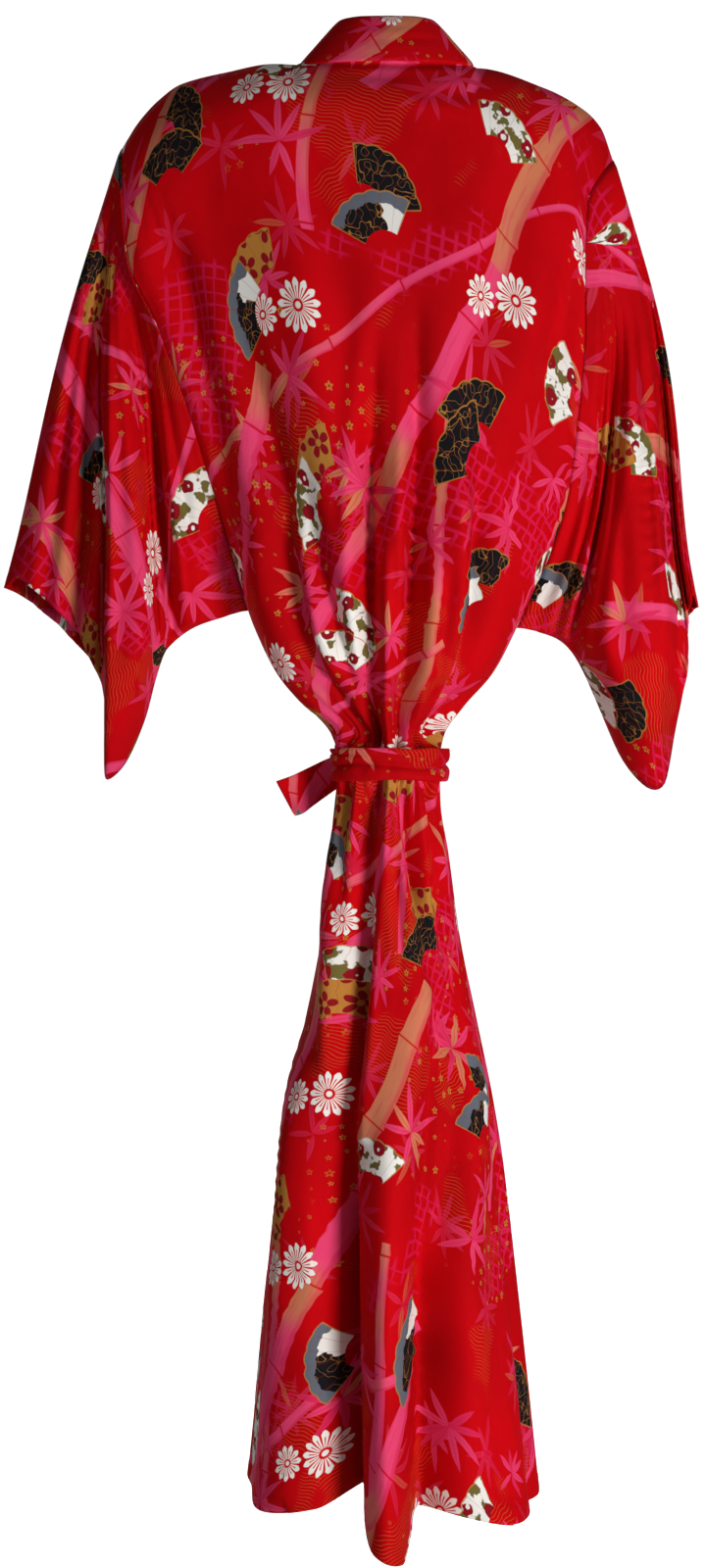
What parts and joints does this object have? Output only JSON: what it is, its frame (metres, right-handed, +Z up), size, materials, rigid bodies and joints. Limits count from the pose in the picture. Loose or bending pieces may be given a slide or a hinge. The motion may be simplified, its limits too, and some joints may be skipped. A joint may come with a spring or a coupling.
{
  "type": "yukata",
  "caption": "Full-length cotton kimono robe with wide bag sleeves and a folded collar, gathered at the waist by its own tied cloth belt, filled out and hollow",
  "frame": {"origin": "inside the shoulders, level with the foot of the collar, on the middle plane between back and front, where a wearer's shoulders hold the robe", "axes": "+Z up, -Y the garment's back, +Y its front, so the wearer's left is at -X"},
  "size_m": [0.6485, 0.2529, 1.4161],
  "materials": {
    "robe_cotton": "soft printed cotton",
    "belt_cotton": "soft printed cotton, folded"
  },
  "bodies": {
    "root": {"back": "robe_cotton", "front_left": "robe_cotton", "front_right": "robe_cotton", "overlap_left": "robe_cotton", "overlap_right": "robe_cotton", "sleeve_left": "robe_cotton", "sleeve_right": "robe_cotton", "collar": "robe_cotton", "belt_band": "belt_cotton", "belt_knot": "belt_cotton", "belt_tail_side": "belt_cotton", "belt_tail_front": "belt_cotton"}
  },
  "joints": []
}
